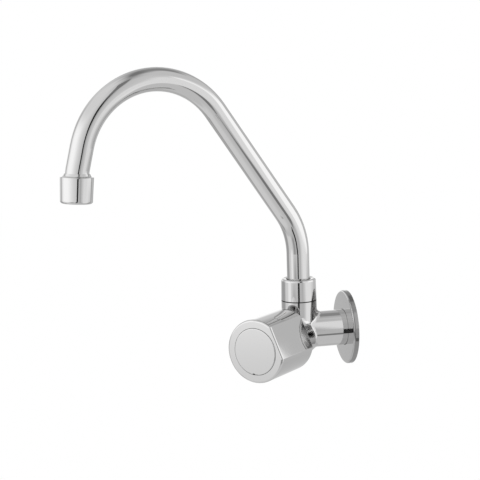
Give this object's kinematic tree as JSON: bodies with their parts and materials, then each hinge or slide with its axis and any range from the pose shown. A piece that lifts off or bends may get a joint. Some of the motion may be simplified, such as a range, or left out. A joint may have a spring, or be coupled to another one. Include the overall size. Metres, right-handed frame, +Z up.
{
  "type": "wall faucet",
  "caption": "Wall-mounted kitchen faucet for cold water: round flange, angled valve with a big round knob, and a swivelling bent-tube spout with a straight nozzle.",
  "frame": {"origin": "centre of the inlet's mouth, in the plane of the wall", "axes": "+Z up, -Y straight out from the wall, +X to the right of a person facing the wall"},
  "size_m": [0.0835, 0.2046, 0.2162],
  "materials": {
    "chrome": "polished chrome plate on brass",
    "brass": "turned, bare",
    "stainless": "satin stainless steel",
    "rubber": "black nitrile rubber",
    "ptfe": "white PTFE",
    "fibre": "red vulcanised fibre",
    "acetal": "white acetal"
  },
  "bodies": {
    "fixed_body": {"faucet_body": "chrome", "valve_seat": "brass", "bonnet": "brass", "bonnet_gasket": "fibre", "spout_nut": "chrome"},
    "flange": {"wall_flange": "chrome"},
    "spout": {"spout_tube": "chrome", "spout_tail": "brass", "tail_ring_lower": "rubber", "tail_ring_upper": "rubber", "slip_washer": "ptfe", "nozzle_body": "chrome", "aerator_gasket": "rubber", "aerator_cartridge": "acetal", "aerator_screen": "stainless", "aerator_ring": "brass"},
    "handle": {"spindle": "brass", "spindle_ring_inner": "rubber", "spindle_ring_outer": "rubber", "thrust_washer": "ptfe", "spindle_clip": "stainless", "knob_shell": "chrome", "knob_insert": "brass", "knob_screw": "stainless", "knob_cap": "chrome", "cap_ring": "rubber"},
    "jumper": {"valve_carrier": "brass", "valve_washer": "rubber", "washer_screw": "stainless"}
  },
  "joints": [
    {"name": "spout_swivel", "type": "hinge", "parent": "fixed_body", "child": "spout", "pos_m": [0, -0.03625, 0.02228], "axis": [0, 0, 1], "range_deg": [-106, 74]},
    {"name": "handle_turn", "type": "hinge", "parent": "fixed_body", "child": "handle", "pos_m": [0, -0.03625, -0.00275], "axis": [0.7071, -0.7071, 0], "range_deg": [0, 450]},
    {"name": "flange_slide", "type": "slide", "parent": "fixed_body", "child": "flange", "axis": [0, -1, 0], "range_m": [0, 0.014]},
    {"name": "washer_lift", "type": "slide", "parent": "fixed_body", "child": "jumper", "axis": [0.7071, -0.7071, 0], "range_m": [0, 0.0035]}
  ],
  "couplings": [
    {"joint": "washer_lift", "follows": "handle_turn", "m_per_rad": 0.00044563}
  ]
}
